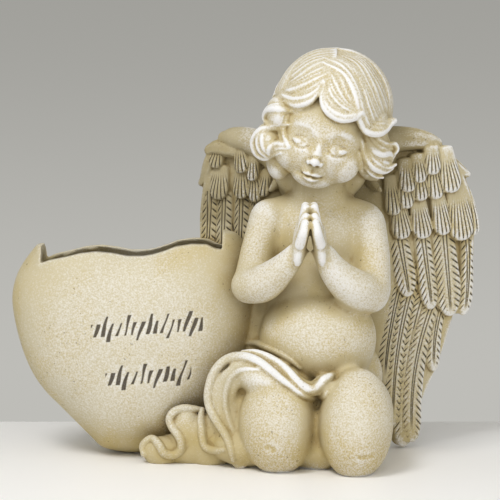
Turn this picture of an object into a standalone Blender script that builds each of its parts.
"""A kneeling cherub beside a hollow heart-shaped planter, cast in one piece. Metres, +Z up, front towards -Y."""

import math

import bmesh
import bpy
from mathutils import Euler, Matrix, Vector
from mathutils.bvhtree import BVHTree

# Overall sizes
FIGURE_HEIGHT = 0.265
HEART_WIDTH = 0.162
HEART_HEIGHT = 0.152
HEART_DEPTH = 0.084
WALL = 0.007
CAVITY_FLOOR = 0.013

# The figure is drawn on a sheet 265 units high, so that its pose and its carving are shares of its height.
UNIT = FIGURE_HEIGHT / 265
# From the drawing's own origin, under the cherub's side, to the middle of the whole casting's footprint.
CENTRE = Vector((-2.0, 6.5, 0.0))

# The heart's right flank is sunk in the cherub's side, so a wider heart grows away from it.
FLANK_X = 9.5 * UNIT
HEART_Y = 20 * UNIT

# The heart's two outlines from the tip up to the cleft, as (across, up). Across is in hundredths of half the
# width, and up is in hundredths of the height.
LEFT_LOBE = (
    (0, 0), (14, 0.5), (28, 2.5), (37, 7), (49, 13.5), (61, 20), (73, 26.5), (83, 34), (90.5, 43), (96, 53), (99.5, 64),
    (99, 71), (95, 78), (87, 85), (77, 91), (63, 95.5), (48, 98), (32, 98), (16, 96.5), (0, 95.5),
)
RIGHT_LOBE = (
    (0, 0), (14, 0.5), (28, 2.5), (38, 7), (51, 13.5), (64, 20), (76, 26.5), (86, 34), (93, 43), (97.5, 53), (100, 64),
    (99.5, 73), (96.5, 81), (91, 88), (82, 94), (70, 98), (56, 100), (40, 100), (24, 98), (10, 96), (0, 95.5),
)
# How far the valley under the cleft sinks into the front and the back, as a share of the depth.
CLEFT = 0.16
# Below 1 the front and back are flatter than an ellipse's.
PUFF = 0.68

# The broken edge of the mouth, from the left shard to the right one: across and up in the drawing.
RIM = (
    (-170, 137), (-134.2, 136.8), (-132.2, 136.5), (-131.6, 126), (-126, 128.3), (-116, 130.5), (-106, 133),
    (-96, 134), (-86, 133), (-76, 131), (-66, 131), (-60, 132), (-52, 134.5), (-45, 137.2), (-35, 138.8), (-25, 138.4),
    (-20, 136), (-15.4, 135), (-14.8, 145.5), (-8, 144.5), (10, 139), (30, 138),
)

VOXEL = 0.0015
TRIANGLES = 9700


def at(x, y, z):
    """A point of the drawing."""
    return Vector((x, y, z)) * UNIT


def turned(x, y, z):
    """A rotation about X, then Y, then Z, in degrees."""
    return Euler([math.radians(a) for a in (x, y, z)]).to_matrix().to_4x4()


def smooth_line(points, steps):
    """A smooth line through the rows of numbers in points, with steps samples to a span."""
    rows = [Vector(p) for p in points]
    rows = [2 * rows[0] - rows[1], *rows, 2 * rows[-1] - rows[-2]]
    line = []
    for a, b, c, d in zip(rows, rows[1:], rows[2:], rows[3:]):
        for k in range(steps):
            t = k / steps
            bend = 2 * b + (c - a) * t + (2 * a - 5 * b + 4 * c - d) * t**2 + (3 * b - 3 * c + d - a) * t**3
            line.append(bend / 2)
    line.append(rows[-2])
    return line


def tube(bm, rings, tips):
    """Closed skin over the rings, which are lists of points, with a point at either end."""
    rings = [[bm.verts.new(p) for p in ring] for ring in rings]
    sides = len(rings[0])
    for a, b in zip(rings, rings[1:]):
        for k in range(sides):
            bm.faces.new((a[k], a[k - 1], b[k - 1], b[k]))
    for ring, tip, order in ((rings[0], tips[0], 1), (rings[-1], tips[1], -1)):
        pole = bm.verts.new(tip)
        for k in range(sides):
            bm.faces.new((ring[k - 1], ring[k], pole)[::order])


def ball(bm, centre, radii, turn=(0, 0, 0), place=Matrix()):
    """An ellipsoid, turned in degrees."""
    stretch = Matrix.Diagonal((*at(*radii), 1))
    matrix = place @ Matrix.Translation(at(*centre)) @ turned(*turn) @ stretch
    bmesh.ops.create_icosphere(bm, subdivisions=4, radius=1, matrix=matrix)


def bar(bm, points, facing=(0, 1, 0), flat=1.0, place=Matrix(), sides=12, steps=4):
    """A round-ended bar through points of (x, y, z, half width). Its thickness is flat times its width, and lies
    along facing."""
    line = smooth_line([p[:3] for p in points], steps)
    wide = [v[0] for v in smooth_line([(p[3], 0) for p in points], steps)]
    first = (line[1] - line[0]).normalized()
    last = (line[-1] - line[-2]).normalized()
    rows = []
    for k in (3, 2, 1):
        a = k * math.pi / 8
        rows.append((line[0] - first * wide[0] * math.sin(a), wide[0] * math.cos(a), first))
    for i, spot in enumerate(line):
        ahead = line[min(i + 1, len(line) - 1)] - line[max(i - 1, 0)]
        rows.append((spot, wide[i], ahead.normalized()))
    for k in (1, 2, 3):
        a = k * math.pi / 8
        rows.append((line[-1] + last * wide[-1] * math.sin(a), wide[-1] * math.cos(a), last))
    rings = []
    for spot, width, ahead in rows:
        side = ahead.cross(Vector(facing)).normalized()
        up = side.cross(ahead) * flat
        turns = [2 * math.pi * k / sides for k in range(sides)]
        rings.append([place @ ((spot + (side * math.cos(a) + up * math.sin(a)) * width) * UNIT) for a in turns])
    tips = [place @ (p * UNIT) for p in (line[0] - first * wide[0], line[-1] + last * wide[-1])]
    tube(bm, rings, tips)


def object_of(bm, name):
    mesh = bpy.data.meshes.new(name)
    bm.to_mesh(mesh)
    bm.free()
    made = bpy.data.objects.new(name, mesh)
    bpy.context.scene.collection.objects.link(made)
    return made


def melted(thing, voxel, smoothing):
    """The closed shapes of an object as one skin, smoothed: a new bmesh."""
    skin = thing.modifiers.new("skin", "REMESH")
    skin.mode = "VOXEL"
    skin.voxel_size = voxel
    soften = thing.modifiers.new("soften", "SMOOTH")
    soften.factor = 0.5
    soften.iterations = smoothing
    bpy.context.view_layer.update()
    bm = bmesh.new()
    bm.from_object(thing, bpy.context.evaluated_depsgraph_get())
    bpy.data.objects.remove(thing)
    return bm


# The body


def torso(bm):
    # The back of the waist and the base, which the legs, the cloth and the heart share
    ball(bm, (10, 14, 62), (13, 20, 58))
    ball(bm, (44, 4, 3), (40, 42, 11))
    ball(bm, (46, -20, 12), (18, 30, 18))
    ball(bm, (46, 26, 20), (30, 20, 22))
    for x in (30, 62):
        ball(bm, (x, 26, 40), (19, 20, 22))
    ball(bm, (46, 2, 140), (31, 21, 33))
    ball(bm, (46, -9, 79), (37.5, 35, 34))
    ball(bm, (46, 0, 108), (33, 26, 34))
    ball(bm, (46, 10, 52), (43, 32, 34))
    bar(bm, [(46, 4, 160, 18), (48, 0, 190, 16)])
    bar(bm, [(14, 2, 156, 11), (46, 5, 162, 12), (76, 2, 154, 12)])


def legs(bm):
    ball(bm, (20, -38, 29), (24.5, 26, 32.5), (-20, 0, 3))
    ball(bm, (21, -12, 32), (24, 32, 28))
    ball(bm, (68.5, -47, 30.5), (23.5, 26, 35.5), (-24, 0, -5))
    ball(bm, (70, -18, 32), (24, 34, 28))
    for x, front in ((24, -40), (68, -48)):
        bar(bm, [(x, front, 13, 14), (x, 6, 12, 14), (x + 1, 30, 10, 10), (x + 2, 40, 9, 9)])
        bar(bm, [(x + 2, 40, 10, 9), (x + 3, 48, 8, 9), (x + 3, 54, 5, 7)], (0, 0, 1), 0.8)


def arms(bm):
    bar(bm, [(15, 1, 155, 13), (8, -8, 137, 11), (4, -19, 116, 12)])
    bar(bm, [(2, -21, 114, 12), (12, -31, 117, 12), (24, -40, 128, 9), (32, -45, 138, 6.5)])
    bar(bm, [(76, 1, 151, 14), (80, -8, 132, 12), (79, -20, 111, 13)])
    bar(bm, [(78, -22, 109, 13), (68, -33, 113, 13), (56, -41, 124, 10), (48, -45, 137, 7)])


def hands(bm):
    for side in (-1, 1):
        x = 39.5 + side * 4.2
        bar(bm, [(x + side * 3, -46, 137, 9), (x + side, -49, 149, 9.5)], (1, 0, 0), 0.5)
        for k in range(4):
            y = -56 + 5.2 * k
            top = (160, 165, 166, 162)[k]
            bar(bm, [(x + side, y + 2, 146, 3.4), (x, y, 155, 3.2), (39.5 + side * 2.6, y, top, 2.6)])
        bar(bm, [(x + side * 2, -56, 143, 3.4), (x, -60, 150, 3.2), (39.5 + side * 3, -59, 156, 2.8)])


# The head has an upright frame of its own, bowed, tilted and turned about the top of the neck.
HEAD = Matrix.Translation(at(50.5, -11, 214)) @ turned(0, 0, -4) @ turned(0, 15, 0) @ turned(7, 0, 0)


def head(bm):
    ball(bm, (0, -3, 0), (28, 29, 34), place=HEAD)
    ball(bm, (0, -7, -14), (27.5, 25, 22), place=HEAD)
    ball(bm, (0, -16, -28.5), (14, 11, 9), place=HEAD)
    ball(bm, (0, -23.5, -24.5), (9, 7, 6), place=HEAD)
    ball(bm, (0, -28, -28), (5, 3, 2.4), place=HEAD)
    bar(bm, [(0, -29, -3, 3), (0, -31, -10, 3), (0, -33, -17, 3.6)], place=HEAD)
    for side in (-1, 1):
        ball(bm, (side * 14.5, -13.6, -17.5), (13, 13.5, 13), place=HEAD)
        ball(bm, (side * 11.8, -24, -8.6), (6.4, 6, 4.6), place=HEAD)
        ball(bm, (side * 3.8, -30.5, -19), (3, 3.4, 2.6), place=HEAD)


# The hair is a cap, an ellipsoid of these radii about this point, with locks laid over it.
CAP = Vector((35.6, 41, 36.6))
CAP_AT = Vector((55.8, -3.5, 226.6))


def masses(bm):
    """The plain lumps under the hair and the cloth."""
    # The nape, the cap, and the hair beside the face
    ball(bm, (48, 10, 188), (31, 15, 26))
    ball(bm, CAP_AT + Vector((0, 0.6, 0.4)), CAP + Vector((0.8, 0.4, 1.6)))
    ball(bm, (51, 6, 208), (33, 28, 32))
    ball(bm, (81, -13, 216), (9.5, 19, 15))
    ball(bm, (80, -14, 199), (12, 14, 16))
    ball(bm, (21, -16, 222), (8.5, 16, 12))
    ball(bm, (14.5, -14, 205), (9.5, 12, 12))
    ball(bm, (21, -8, 191), (8, 11, 11))
    # The cloth over the lap, the panel round the thigh and the heap on the floor
    bar(bm, [(47, -46, 52, 5), (37, -47, 53, 6.5), (27, -45, 58, 8), (17, -41, 64, 8), (7, -37, 68, 8), (-4, -31, 68, 7)],
        (0, -0.6, 0.8), 0.6)
    bar(bm, [(6, -42, 63, 6), (-3, -38, 61, 7), (-10, -34, 55, 8), (-14, -31, 47, 9), (-15, -30, 38, 9), (-12, -31, 29, 9),
             (-8, -33, 20, 9), (-5, -35, 11, 8), (-4, -36, 5, 6)], (-0.3, -0.95, 0), 0.45)
    ball(bm, (20, -32, 52), (30, 20, 14), (0, 26, 0))
    ball(bm, (-6, -18, 38), (15, 16, 32))
    ball(bm, (2, -24, 13), (24, 22, 14))
    ball(bm, (-28, -12, 8), (34, 13, 12))
    ball(bm, (-37, -16, 17), (11, 9, 18))
    ball(bm, (-22, -20, 14), (14, 10, 19))
    ball(bm, (-54, -17, 7), (12, 8, 10))


def strand(bm, skin, rows, sunk=0.2, thicker=1.2):
    """A bar through rows of (x, z, half width), laid on the skin as it is seen from the front."""
    line = smooth_line(rows, 2)
    hits = [skin.ray_cast(at(x, -90, z), Vector((0, 1, 0)))[0] for x, z, _ in line]
    known = [k for k, hit in enumerate(hits) if hit]
    depths = [hits[min(known, key=lambda j: abs(j - k))].y / UNIT for k in range(len(line))]
    depths = [sum(depths[max(k - 1, 0):k + 2]) / len(depths[max(k - 1, 0):k + 2]) for k in range(len(depths))]
    bar(bm, [(x, y + sunk * w, z, thicker * w) for (x, z, w), y in zip(line, depths)], sides=10, steps=2)


def on_cap(x, z):
    """The point of the cap seen at (x, z) from the front. Beyond its outline the point stays level with its middle."""
    dx, dz = (x - CAP_AT.x) / CAP.x, (z - CAP_AT.z) / CAP.z
    return Vector((x, CAP_AT.y - CAP.y * math.sqrt(max(0, 1 - dx * dx - dz * dz)), z))


def lock(bm, guides, lifts, rim):
    """A thick sheet over the cap between guides, each a row of (x, z) from root to tip that lifts off the cap. The
    last one is rolled into a rim of that half width."""
    lines = [smooth_line([on_cap(*row) for row in guide], 4) for guide in guides]
    rings, roll = [], []
    for k in range(len(lines[0])):
        grown = 0.35 + 0.65 * k / (len(lines[0]) - 1)
        top, under = [], []
        for line, lift in zip(lines, lifts):
            outward = Vector([(line[k][i] - CAP_AT[i]) / CAP[i] ** 2 for i in range(3)]).normalized()
            top.append((line[k] + outward * lift * grown) * UNIT)
            under.append((line[k] - outward * 4) * UNIT)
        rings.append(top + under[::-1])
        roll.append((*(top[-1] / UNIT - outward * 0.35 * rim), rim * min(1, 0.4 + 2 * grown - 0.7)))
    tube(bm, rings[1:-1], [sum(ring, Vector()) / len(ring) for ring in (rings[0], rings[-1])])
    bar(bm, roll[::2], sides=10, steps=2)


def hair(bm, skin):
    # From the parting to the right, the outer lock first
    lock(bm, [[(53, 263.4), (75, 258.5), (87, 247), (92.6, 232), (93, 222), (93, 217.4)],
              [(49.5, 260), (66, 252.5), (74, 239), (79, 226), (85, 215.5), (92.6, 217)],
              [(48, 254), (60, 247), (67, 234), (70.4, 218), (77.5, 210.4), (91.6, 215.6)]], (0.8, 1.2, 1.6), 2.6)
    lock(bm, [[(50, 260), (62.5, 251), (68.5, 239), (71, 231), (72, 226), (72, 224)],
              [(51, 250), (53, 238), (58, 229.5), (64.5, 225), (69.5, 225), (71.4, 224)],
              [(47.2, 239), (47, 230.5), (51, 223.6), (59, 219.4), (68, 221), (70.8, 223.6)]], (0.8, 1.6, 1.6), 2.8)
    bar(bm, [(70.5, -38, 219.5, 2.4), (77, -36, 210.8, 3), (87.4, -27, 212.4, 3), (94, -20, 217.6, 1.8)])
    bar(bm, [(73.7, -34, 224, 3), (79.4, -32, 216, 3.4), (88, -24, 216.5, 3)])
    # From the parting to the left
    lock(bm, [[(60, 263.2), (44, 261.6), (31, 255), (20.5, 241), (17, 233), (15, 228)],
              [(54, 251), (43, 245.4), (34.5, 240.5), (27, 237.4), (21.5, 235.4), (18.5, 233)],
              [(46.5, 239), (42.4, 232.4), (36.6, 228.8), (30.6, 228.2), (25, 230.4), (21, 232.6)]], (0.8, 1.6, 1.6), 2.8)
    strand(bm, skin, [(40, 229, 1.4), (29.6, 224.8, 2.3), (18.4, 225.4, 2.5), (12, 220.6, 2.1), (17.4, 214, 1.5)])
    strand(bm, skin, [(40, 231.7, 1.4), (29.8, 227.4, 2), (18.8, 228, 2), (13, 223, 1.6)])
    strand(bm, skin, [(22.6, 213.4, 1.4), (8.9, 211.4, 2.5), (5.4, 200.7, 2.6), (12, 194.6, 2.2), (17, 196, 1.5)])
    strand(bm, skin, [(25, 214.6, 1.2), (11.5, 212.6, 2), (8, 202, 2), (14.6, 195.8, 1.8)])
    strand(bm, skin, [(24, 203.5, 1.6), (19.5, 203.5, 2.6), (15.5, 201.4, 2.8), (14.6, 198, 2)])
    strand(bm, skin, [(26, 222, 1.5), (24, 215, 2.2), (24.6, 208, 2.2), (27, 202, 1.6)])
    # The curls below, on the right
    strand(bm, skin, [(75, 212, 1.6), (80, 199.8, 2.6), (89.6, 197.4, 2.3), (91.4, 194, 2), (86.5, 192.4, 1.3)])
    strand(bm, skin, [(72, 206, 1.6), (74, 198, 2.5), (78, 191, 2.6), (83, 187.4, 2.5), (92, 188, 1.4)])
    strand(bm, skin, [(70, 198, 1.6), (72, 190, 2.4), (75, 184.4, 2.4), (79, 181, 2.1), (84, 180, 1.4)])
    # Waves at the back, in two layers
    for low, out in ((0, 2), (-9, -1)):
        for k in range(8):
            a = math.radians(-50 + 100 * k / 7)
            x, y = 50 + (37 - out) * math.sin(a), -2 + (31 - out) * math.cos(a)
            bend = 3.5 if k % 2 else -3
            bar(bm, [(x, y, 214 + low, 5), (x + bend, y + 2, 203 + low, 5), (x - bend / 2, y, 192 + low, 4.4),
                     (x + bend, y - 2, 183 + low, 3)])


# The wings are drawn on upright sheets hinged behind the shoulders: out along the sheet, back through it, and up.
def sheet(x, y, swept, side):
    """The frame of a wing, with its hinge at (x, y), swept back in degrees, to the side 1 or -1."""
    a = math.radians(swept)
    rows = (
        (side * math.cos(a), -side * math.sin(a), 0, 0),
        (math.sin(a), math.cos(a), 0, 0),
        (0, 0, 1, 0),
        (0, 0, 0, 1),
    )
    return Matrix.Translation(at(x, y, 0)) @ Matrix(rows)


RIGHT_WING = sheet(52, 14, 20, 1)
LEFT_WING = sheet(40, 14, 30, -1)


def feather(bm, wing, root, tip, half, depth, bow=0.0, flat=0.34):
    """A blade from root to tip, both (out, up), its middle near depth, bowed sideways by bow times its length."""
    root = Vector((root[0], root[1]))
    tip = Vector((tip[0], tip[1]))
    along = tip - root
    across = Vector((-along[1], along[0])) * bow
    end = max(0.0, 1 - 0.75 * half / along.length)
    rows = []
    for t, width in ((0, 0.6), (0.3, 0.85), (0.62, 1), (0.86, 0.95), (1, 0.72)):
        spot = root + along * t * end + across * 4 * t * (1 - t)
        rows.append((spot[0], depth - 0.8 - 1.6 * t, spot[1], half * width))
    bar(bm, rows, (0, 1, 0), flat, wing, 12, 3)


def feathers(bm, wing, rows):
    for root, tip, half, depth, *bow in rows:
        feather(bm, wing, root, tip, half, depth, *bow)


def right_wing(bm, back):
    """Either face of the right wing. The back has no small coverts."""
    turn = -1 if back else 1
    lift = 4 if back else 0
    rows = [
        ((58, 128), (40, 44), 6.5, -0.2, -0.04),
        ((66, 126), (46, 16), 7, -0.8, -0.05),
        ((77, 122), (54, 1), 7.5, -0.4, -0.06),
        ((86, 118), (60, 4), 9, -1, -0.08),
        ((93, 118), (76, 50), 6, 0.4, -0.08),
        ((50, 140), (57, 101), 9.5, -2),
        ((66, 145), (73, 92), 7.5, -2.6),
        ((82, 145), (87, 87), 11, -2.4),
        ((97, 150), (97, 87), 5.5, -1, 0.05),
        ((48, 166), (52, 139), 8, -3.6),
        ((62, 168), (67, 139), 8, -4.2),
        ((76, 172), (81, 141), 7, -4.6),
        ((90, 175), (95, 137), 10, -4.2),
        ((99, 172), (106, 140), 4.5, -2, 0.06),
    ]
    if not back:
        rows += [
            ((42, 182), (45, 155), 6.5, -5),
            ((50, 186), (54, 159), 6.5, -5.6),
            ((61, 190), (64, 164), 6.5, -6.2),
            ((71, 192), (75, 165), 7, -6),
            ((52, 193), (54, 170), 7, -7.4),
            ((60, 196), (62, 176), 6.5, -8),
            ((70, 201), (71, 181), 7, -8.2),
            ((80, 200), (86, 169), 8.5, -7),
        ]
    feathers(bm, wing_face(RIGHT_WING, turn, lift), rows)


def wing_face(wing, turn, lift):
    """The wing's frame for its front, or mirrored through the sheet and lifted off it for its back."""
    return wing @ Matrix.Translation(at(0, lift, 0)) @ Matrix.Diagonal((1, turn, 1, 1))


def wings(bm):
    # The sheets themselves, where they leave the back
    bar(bm, [(24, 1, 186, 16), (32, 2, 150, 18), (36, 2, 100, 20), (42, 2, 60, 16), (48, 2, 24, 12)],
        flat=0.35, place=RIGHT_WING)
    bar(bm, [(22, 1, 186, 16), (28, 2, 150, 18), (30, 2, 100, 18), (32, 2, 60, 14)], flat=0.35, place=LEFT_WING)
    bar(bm, [(40, 1, 186, 13), (62, 1, 186, 13), (78, 1, 178, 13), (88, 1, 166, 13)], flat=0.4, place=RIGHT_WING)
    bar(bm, [(34, 1, 188, 13), (52, 1, 190, 12), (62, 1, 180, 12), (64, 1, 165, 12)], flat=0.4, place=LEFT_WING)
    bar(bm, [(60, -2, 190, 16), (80, -2, 174, 15), (86, -2, 150, 12)], flat=0.3, place=RIGHT_WING)
    bar(bm, [(40, -3, 186, 14), (60, -3, 180, 12)], flat=0.3, place=LEFT_WING)
    bar(bm, [(40, 1, 190, 12), (66, 2, 165, 24), (72, 2, 120, 26), (66, 2, 70, 20), (57, 1, 25, 9), (55, 0, 8, 7)],
        flat=0.2, place=RIGHT_WING)
    bar(bm, [(36, 1, 190, 12), (52, 2, 165, 22), (54, 2, 120, 24), (50, 2, 80, 16), (44, 2, 55, 9)],
        flat=0.2, place=LEFT_WING)
    # The arms of the wings and their scrolled ends
    bar(bm, [(2, 2, 172, 14), (22, -1, 198, 12), (40, -4, 204, 9), (56, -5, 205, 7.5), (69, -4, 203.5, 6),
             (77, -3, 202, 3.5)], place=RIGHT_WING)
    bar(bm, [(4, 2, 172, 14), (20, -2, 194, 12), (38, -5, 203, 9), (52, -5, 205, 7.5), (59, -5, 205, 5)],
        place=LEFT_WING)
    bar(bm, [(50, -6, 197, 5), (63, -6, 198.5, 5.5), (70, -6, 197, 4)], place=LEFT_WING)
    # Their leading edges
    bar(bm, [(72, -3, 199, 6), (83, -2, 191, 5.5), (93, -2, 184, 4.5), (100, -2.5, 181, 2)], place=RIGHT_WING)
    bar(bm, [(88, -1, 186, 6), (96, -1, 171, 5), (102, -1, 154, 4)], place=RIGHT_WING)
    bar(bm, [(97, 0, 160, 6), (100.5, 0, 136, 5), (99, 0, 112, 4.5), (94, 0, 92, 4)], place=RIGHT_WING)
    bar(bm, [(66, -3, 196, 6), (71, -3, 188, 5.5), (75, -2, 180, 4.5), (79, -2, 175, 2.5)], place=LEFT_WING)
    bar(bm, [(70, -1, 182, 6), (74, -1, 165, 5), (76, -1, 148, 4.5), (74, 0, 120, 5), (66, 0, 90, 5)], place=LEFT_WING)
    right_wing(bm, False)
    right_wing(bm, True)
    left = [
        ((66, 150), (60, 70), 7, 0, -0.06),
        ((54, 150), (50, 58), 8, -0.5, -0.06),
        ((44, 150), (42, 66), 7, -1, -0.05),
        ((71, 172), (74, 100), 7, -2),
        ((60, 172), (62, 92), 7.5, -2.6),
        ((47, 172), (49, 88), 7.5, -2.2),
        ((36, 172), (38, 96), 6, -2),
    ]
    fine = [
        ((62, 188), (64, 164), 8, -4.6),
        ((46, 188), (46, 165), 7, -5),
        ((36, 186), (35, 163), 5.5, -5.2),
        ((27, 186), (29, 167), 4.5, -5),
        ((62, 200), (66, 185), 6, -6.4),
        ((46, 202), (44, 182), 6, -7.4),
        ((36, 196), (36, 177), 5, -7),
    ]
    feathers(bm, LEFT_WING, left + fine)
    feathers(bm, wing_face(LEFT_WING, -1, 4), left)


# The cloth


def cloth(bm, skin):
    # The folds over the lap, gathered in a knot between the thighs
    strand(bm, skin, [(55, 59.4, 2), (48.6, 58.4, 3), (45.6, 55, 2.9), (41.6, 52.4, 2.9), (36.7, 53.6, 3), (26.9, 62.4, 3),
                      (14.5, 70.8, 2.6), (-2, 73, 1.4)], 0.05)
    strand(bm, skin, [(50.6, 51, 1.6), (48.6, 47.4, 2.5), (44.2, 46.4, 2.7), (38.5, 48, 2.5), (25.1, 56.4, 2), (18, 62, 1.5)])
    strand(bm, skin, [(34, 64, 1.4), (22.6, 72, 2.5), (14.6, 74.6, 2.5), (-1, 73.6, 1.6)])
    # The rope of the outer hem, down round the thigh, and the edge inside it
    strand(bm, skin, [(34, 51, 1.2), (28, 54.6, 2), (14, 64.6, 3), (6.5, 69.2, 3.1), (-1.5, 70.8, 3.2), (-9.5, 69.4, 3.2),
                      (-16, 65, 3.2), (-20.4, 58.8, 3.1), (-23, 51, 3), (-23.8, 43.4, 3), (-22.4, 37, 3), (-15.4, 25, 2.8),
                      (-9.2, 12.4, 2.2), (-8, 6, 1.6)], 0, 1.1)
    strand(bm, skin, [(8, 64, 1.4), (-2, 63.4, 2), (-8.6, 58.6, 2.2), (-12, 50.4, 2.2), (-12.8, 41, 2), (-8, 24, 1)])
    # The frill on the floor
    strand(bm, skin, [(-27, 34, 1.6), (-34, 34.8, 2.4), (-40, 35, 2.7), (-46, 32.6, 2.8), (-48.6, 28, 2.8), (-47, 23.2, 2.8),
                      (-43.2, 18.8, 2.8), (-41, 13.9, 2.8), (-42, 8.8, 2.8), (-46.5, 6, 2.8), (-52, 7.6, 2.8),
                      (-54.8, 12, 2.7), (-58.4, 15.4, 2.6), (-62, 15, 2.6), (-65.6, 11, 2.6), (-65, 6, 2.2)], -0.15, 1.1)
    strand(bm, skin, [(-27.6, 35, 1.8), (-28, 24, 2.6), (-27.4, 18, 2.6), (-25.8, 13, 2.6), (-22, 10.8, 2.6),
                      (-17.5, 11, 2.2), (-14, 12.6, 1.4)], -0.2, 1.1)


# The heart


def heart_outline(inset):
    """The heart's outline in the upright plane, drawn in by inset, as (x, z) from the middle of its foot."""
    half = HEART_WIDTH / 2
    left = smooth_line([(-a * half / 100, z * HEART_HEIGHT / 100) for a, z in LEFT_LOBE], 3)
    right = smooth_line([(a * half / 100, z * HEART_HEIGHT / 100) for a, z in RIGHT_LOBE], 3)
    loop = left + right[-2:0:-1]
    drawn = []
    for k, spot in enumerate(loop):
        ahead = (loop[(k + 1) % len(loop)] - loop[k - 1]).normalized()
        drawn.append(spot + Vector((ahead[1], -ahead[0])) * inset)
    return drawn


def heart(inset, floor):
    """The closed heart, drawn in by inset all round and flat below floor."""
    bm = bmesh.new()
    loop = heart_outline(inset)
    eye = Vector((0, HEART_HEIGHT * 0.55))
    depth = HEART_DEPTH / 2 - inset
    rings = []
    for k in range(1, 28):
        a = math.pi * k / 28 - math.pi / 2
        share = math.cos(a) ** PUFF
        ring = []
        for spot in loop:
            flat = eye + (spot - eye) * share
            high = min(1, max(0, flat[1] / eye[1] - 1) * 1.5)
            sink = CLEFT * math.exp(-((flat[0] / (0.16 * HEART_WIDTH)) ** 2)) * high
            ring.append(Vector((flat[0], depth * math.sin(a) * (1 - sink), max(flat[1], floor))))
        rings.append(ring)
    tube(bm, rings, [Vector((0, side * depth, eye[1])) for side in (-1, 1)])
    bmesh.ops.translate(bm, verts=bm.verts, vec=(FLANK_X - HEART_WIDTH / 2, HEART_Y, 0))
    bmesh.ops.recalc_face_normals(bm, faces=bm.faces)
    return bm


def above_rim():
    """All that the broken edge of the mouth takes away from the heart."""
    bm = bmesh.new()
    low = [at(x, 0, z) for x, z in RIM]
    rings = []
    for y in (-90, 110):
        shift = at(0, y, 0)
        ring = [p + shift for p in low]
        ring += [Vector((p.x, shift.y, 0.4)) for p in reversed(low)]
        rings.append([bm.verts.new(p) for p in ring])
    front, back = rings
    for k in range(len(front)):
        bm.faces.new((front[k - 1], front[k], back[k], back[k - 1]))
    bm.faces.new(front)
    bm.faces.new(back)
    bmesh.ops.recalc_face_normals(bm, faces=bm.faces)
    return bm


def box(low, high):
    bm = bmesh.new()
    bmesh.ops.create_cube(bm, size=1)
    for v in bm.verts:
        v.co = Vector([low[i] if v.co[i] < 0 else high[i] for i in range(3)])
    return bm


def cut(thing, tool, operation="DIFFERENCE"):
    """Applies thing's modifiers and a Boolean of it with tool, and drops the tool."""
    step = thing.modifiers.new("cut", "BOOLEAN")
    step.operation = operation
    step.solver = "EXACT"
    step.object = tool
    bpy.context.view_layer.update()
    bm = bmesh.new()
    bm.from_object(thing, bpy.context.evaluated_depsgraph_get())
    thing.modifiers.clear()
    bm.to_mesh(thing.data)
    bm.free()
    bpy.data.objects.remove(tool)


def build():
    for stray in list(bpy.data.objects):
        bpy.data.objects.remove(stray)

    body = bmesh.new()
    for form in (torso, legs, arms):
        form(body)
    clay = melted(object_of(body, "clay"), VOXEL, 14)
    head(clay)
    masses(clay)
    clay = melted(object_of(clay, "clay"), VOXEL, 5)
    skin = BVHTree.FromBMesh(clay)
    hair(clay, skin)
    cloth(clay, skin)
    hands(clay)
    wings(clay)

    shell = object_of(heart(0, 0), "shell")
    cut(shell, object_of(above_rim(), "rim"))
    clay.from_mesh(shell.data)
    bpy.data.objects.remove(shell)
    angel = object_of(melted(object_of(clay, "clay"), VOXEL, 2), "angel_heart_planter")

    cut(angel, object_of(heart(WALL, CAVITY_FLOOR), "cavity"))
    thin = angel.modifiers.new("thin", "DECIMATE")
    thin.ratio = TRIANGLES / sum(len(f.vertices) - 2 for f in angel.data.polygons)
    cut(angel, object_of(box((-1, -1, -1), (1, 1, 0)), "ground"))
    angel.data.transform(Matrix.Translation(CENTRE * UNIT))


build()
